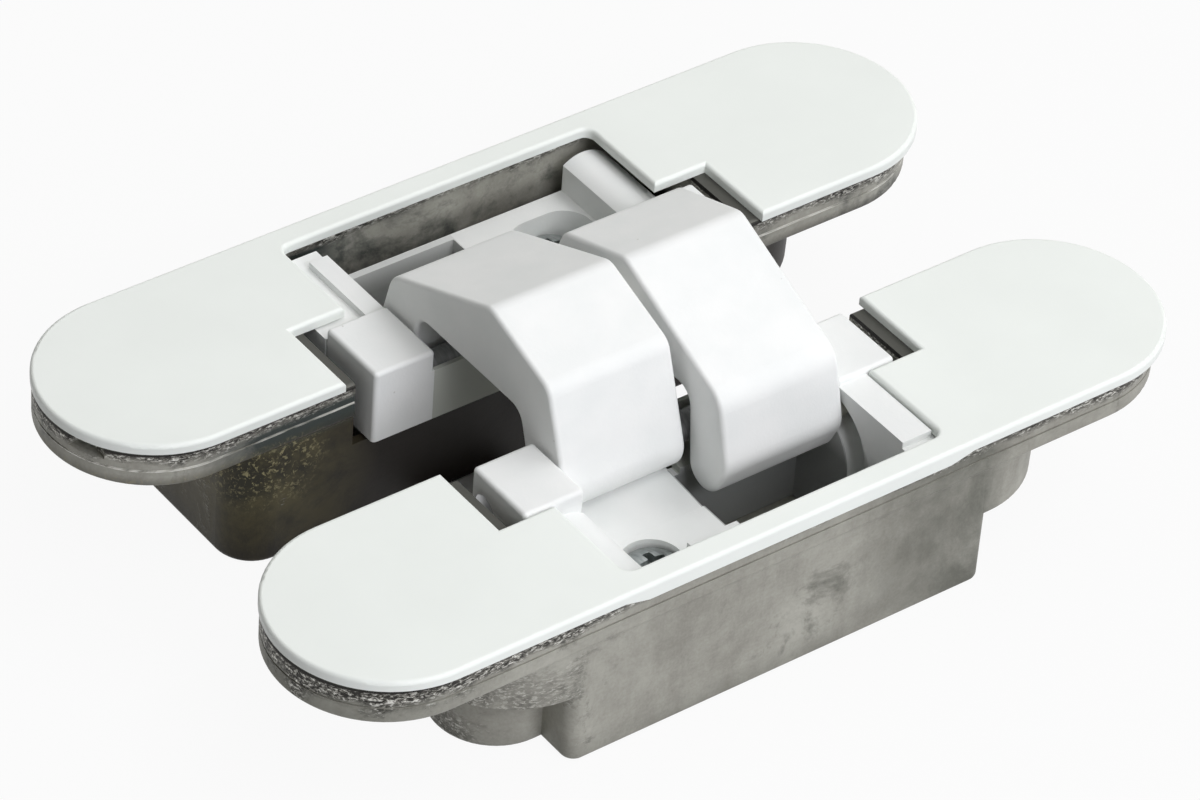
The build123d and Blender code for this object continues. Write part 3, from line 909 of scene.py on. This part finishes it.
@dataclass(frozen=True)
class Floor:
    """Plain pale floor that shows as white, apart from a small place that keeps its whole shadow.

    That place lies at the foot of the frame casting, under the left arm. It is given by its middle along X
    and Y, and by how far from there the shadow is whole and where it has faded out.
    """

    size: float = 6.0
    colour: str = "#C9C9C9"
    white: str = "#FFFFFF"
    glow: float = 0.93
    shadow_middle: tuple[float, float] = (-0.0105, 0.0078)
    shadow_fade: tuple[Fade, Fade] = (Fade(0.0045, 0.008), Fade(0.003, 0.006))

    def material(self) -> bpy.types.Material:
        """Builds the floor's material.

        Returns:
            The finished material.
        """
        # painted board: matte grey that takes shadows, and white where it is seen
        material, tree = new_material("pale_floor")
        place = add(tree, "ShaderNodeTexCoord", {}).outputs["Object"]
        axes = add(tree, "ShaderNodeSeparateXYZ", {"Vector": place}).outputs
        clear = 0.0
        for axis, middle, fade in zip("XY", self.shadow_middle, self.shadow_fade):
            off = add(tree, "ShaderNodeMath", {0: axes[axis], 1: middle}, operation="SUBTRACT").outputs[0]
            off = add(tree, "ShaderNodeMath", {0: off}, operation="ABSOLUTE").outputs[0]
            off = add(tree, "ShaderNodeMapRange", {"Value": off, **fade.limits}).outputs["Result"]
            clear = add(tree, "ShaderNodeMath", {0: off, 1: clear}, operation="MAXIMUM").outputs[0]
        share = seen_directly(tree)
        for part in (self.glow, clear):
            share = add(tree, "ShaderNodeMath", {0: share, 1: part}, operation="MULTIPLY").outputs[0]
        matte = add(tree, "ShaderNodeBsdfDiffuse", {"Color": linear(self.colour)}).outputs["BSDF"]
        glow = add(tree, "ShaderNodeEmission", {
            "Color": linear(self.white), "Strength": 1.0,
        }).outputs["Emission"]
        mixed = add(tree, "ShaderNodeMixShader", {0: share, 1: matte, 2: glow}).outputs["Shader"]
        add(tree, "ShaderNodeOutputMaterial", {"Surface": mixed})
        return material

    def lay(self) -> None:
        """Lays the floor just under the hinge."""
        sheet = bmesh.new()
        bmesh.ops.create_grid(
            sheet, x_segments=1, y_segments=1, size=self.size / 2,
            matrix=Matrix.Translation((0.0, 0.0, CAD_BOX[0].z)),
        )
        mesh = bpy.data.meshes.new("floor")
        sheet.to_mesh(mesh)
        sheet.free()
        mesh.materials.append(self.material())
        floor = bpy.data.objects.new("floor", mesh)
        bpy.context.scene.collection.objects.link(floor)


@dataclass
class Studio:
    """Floor, soft lamps and the camera at the photo's angle, with its angles in degrees."""

    floor: Floor = Floor()
    world_colour: str = "#FFFEF6"
    world_strength: Fade = Fade(0.0, 1.0, 0.08, 1.0)
    lamps: tuple[SoftBox, ...] = (
        SoftBox("front_lamp", (0.05, -0.95, 0.5), 5.4, "#F8F8FF"),
        SoftBox("high_lamp", (0.1, -0.6, 0.85), 4.3),
        SoftBox("right_lamp", (0.6, 0.0, 0.85), 4.1),
        SoftBox("back_lamp", (0.1, 0.65, 0.85), 1.4),
    )
    aim: tuple[float, float, float] = (0.0, 0.0, 0.012)
    azimuth: float = -39.242
    elevation: float = 39.284
    roll: float = 4.536
    camera_place: tuple[float, float, float] = (-0.299274, -0.366119, 0.399470)
    lens_mm: float = 173.216
    sensor_mm: float = 36.0
    nearest: float = 0.01

    def light(self) -> None:
        """Sets the world and the lamps."""
        world = bpy.data.worlds.new("soft_room")
        bpy.context.scene.world = world
        world.use_nodes = True
        tree = world.node_tree
        tree.nodes.clear()
        strength = add(tree, "ShaderNodeMapRange", {
            "Value": seen_directly(tree), **self.world_strength.limits,
        }).outputs["Result"]
        back = add(tree, "ShaderNodeBackground", {
            "Color": linear(self.world_colour), "Strength": strength,
        }).outputs["Background"]
        add(tree, "ShaderNodeOutputWorld", {"Surface": back})
        for lamp in self.lamps:
            lamp.hang(self.aim)

    def place_camera(self) -> None:
        """Places the camera where the photo was taken from."""
        data = bpy.data.cameras.new("camera")
        data.lens = self.lens_mm
        data.sensor_width = self.sensor_mm
        data.clip_start = self.nearest
        camera = bpy.data.objects.new("camera", data)
        turn, tilt = math.radians(self.azimuth), math.radians(self.elevation)
        back = Vector((math.sin(turn) * math.cos(tilt), -math.cos(turn) * math.cos(tilt), math.sin(tilt)))
        level = (-back).to_track_quat("-Z", "Y").to_matrix().to_4x4()
        camera.matrix_world = (
            Matrix.Translation(self.camera_place) @ level @ Matrix.Rotation(math.radians(self.roll), 4, "Z")
        )
        bpy.context.scene.collection.objects.link(camera)
        bpy.context.scene.camera = camera

    def build(self) -> None:
        """Builds the whole studio."""
        self.floor.lay()
        self.light()
        self.place_camera()
        bpy.context.scene.view_settings.view_transform = "Standard"


def main() -> None:
    """Dresses the hinge and sets up the studio."""
    logging.basicConfig(level=logging.INFO, format="%(message)s")
    finishes = Finishes()
    for side in Side:
        Leaf(side).dress(finishes)
    Linkage().dress(finishes)
    Studio().build()


if __name__ == "__main__":
    main()
